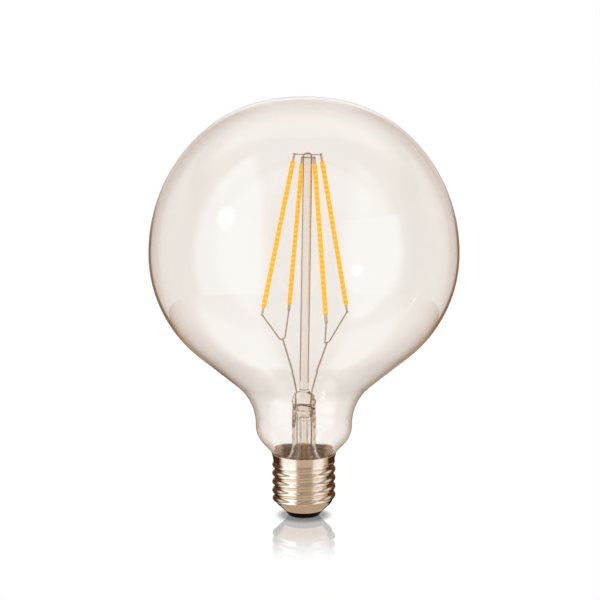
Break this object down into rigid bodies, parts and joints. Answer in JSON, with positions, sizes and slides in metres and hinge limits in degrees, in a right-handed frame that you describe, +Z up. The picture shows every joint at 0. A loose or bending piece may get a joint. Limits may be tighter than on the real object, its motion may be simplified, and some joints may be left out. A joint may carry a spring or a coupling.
{
  "type": "globe filament lamp",
  "caption": "Large clear glass globe lamp with a cage of light-emitting filaments on a glass stem and a rolled metal screw cap with an insulated end contact.",
  "frame": {"origin": "centre of the end contact's face, the lowest point of the lamp with its cap down", "axes": "+Z runs up the lamp's axis from the cap to the crown; +X is the viewer's right in the picture and +Y points away from the viewer"},
  "size_m": [0.125, 0.125, 0.1719],
  "materials": {
    "clear_glass": "clear blown glass with a faint warm tint, polished",
    "cap_nickel": "nickel plated brass sheet, rolled and bright with a warm tone",
    "black_glass": "moulded black glass, glossy",
    "contact_metal": "plated brass, worn satin",
    "bright_wire": "drawn nickel wire, satin",
    "tab_metal": "stamped steel strip, satin",
    "copper_wire": "drawn copper wire, bright",
    "phosphor_coat": "silicone with yellow-orange phosphor, matt",
    "carrier_ceramic": "pale ceramic strip, matt",
    "cement": "baked brown capping cement, rough",
    "board": "glass-fibre board with green lacquer, satin",
    "moulded_black": "moulded black epoxy, matt",
    "can_sleeve": "shrunk sleeve over an aluminium can, glossy",
    "resistor_coat": "dipped enamel, glossy",
    "wire_sleeve": "insulated wire, smooth"
  },
  "bodies": {
    "root": {"bridge_rectifier": "moulded_black", "cap_cement": "cement", "cap_insulator": "black_glass", "cap_wire": "wire_sleeve", "centre_contact": "contact_metal", "centre_rod": "clear_glass", "contact_wire": "bright_wire", "driver_board": "board", "driver_chip": "moulded_black", "exhaust_tube": "clear_glass", "filament_back_carrier": "carrier_ceramic", "filament_back_coat": "phosphor_coat", "filament_back_foot_tab": "tab_metal", "filament_back_top_tab": "tab_metal", "filament_front_carrier": "carrier_ceramic", "filament_front_coat": "phosphor_coat", "filament_front_foot_tab": "tab_metal", "filament_front_top_tab": "tab_metal", "filament_left_carrier": "carrier_ceramic", "filament_left_coat": "phosphor_coat", "filament_left_foot_tab": "tab_metal", "filament_left_top_tab": "tab_metal", "filament_right_carrier": "carrier_ceramic", "filament_right_coat": "phosphor_coat", "filament_right_foot_tab": "tab_metal", "filament_right_top_tab": "tab_metal", "fuse_resistor": "resistor_coat", "globe_envelope": "clear_glass", "inner_cross_wire": "bright_wire", "left_fork": "bright_wire", "left_inner_lead": "bright_wire", "left_outer_lead": "copper_wire", "left_seal_wire": "copper_wire", "outer_cross_wire": "bright_wire", "right_fork": "bright_wire", "right_inner_lead": "bright_wire", "right_outer_lead": "copper_wire", "right_seal_wire": "copper_wire", "screw_shell": "cap_nickel", "smoothing_capacitor": "can_sleeve", "stem": "clear_glass"}
  },
  "joints": []
}
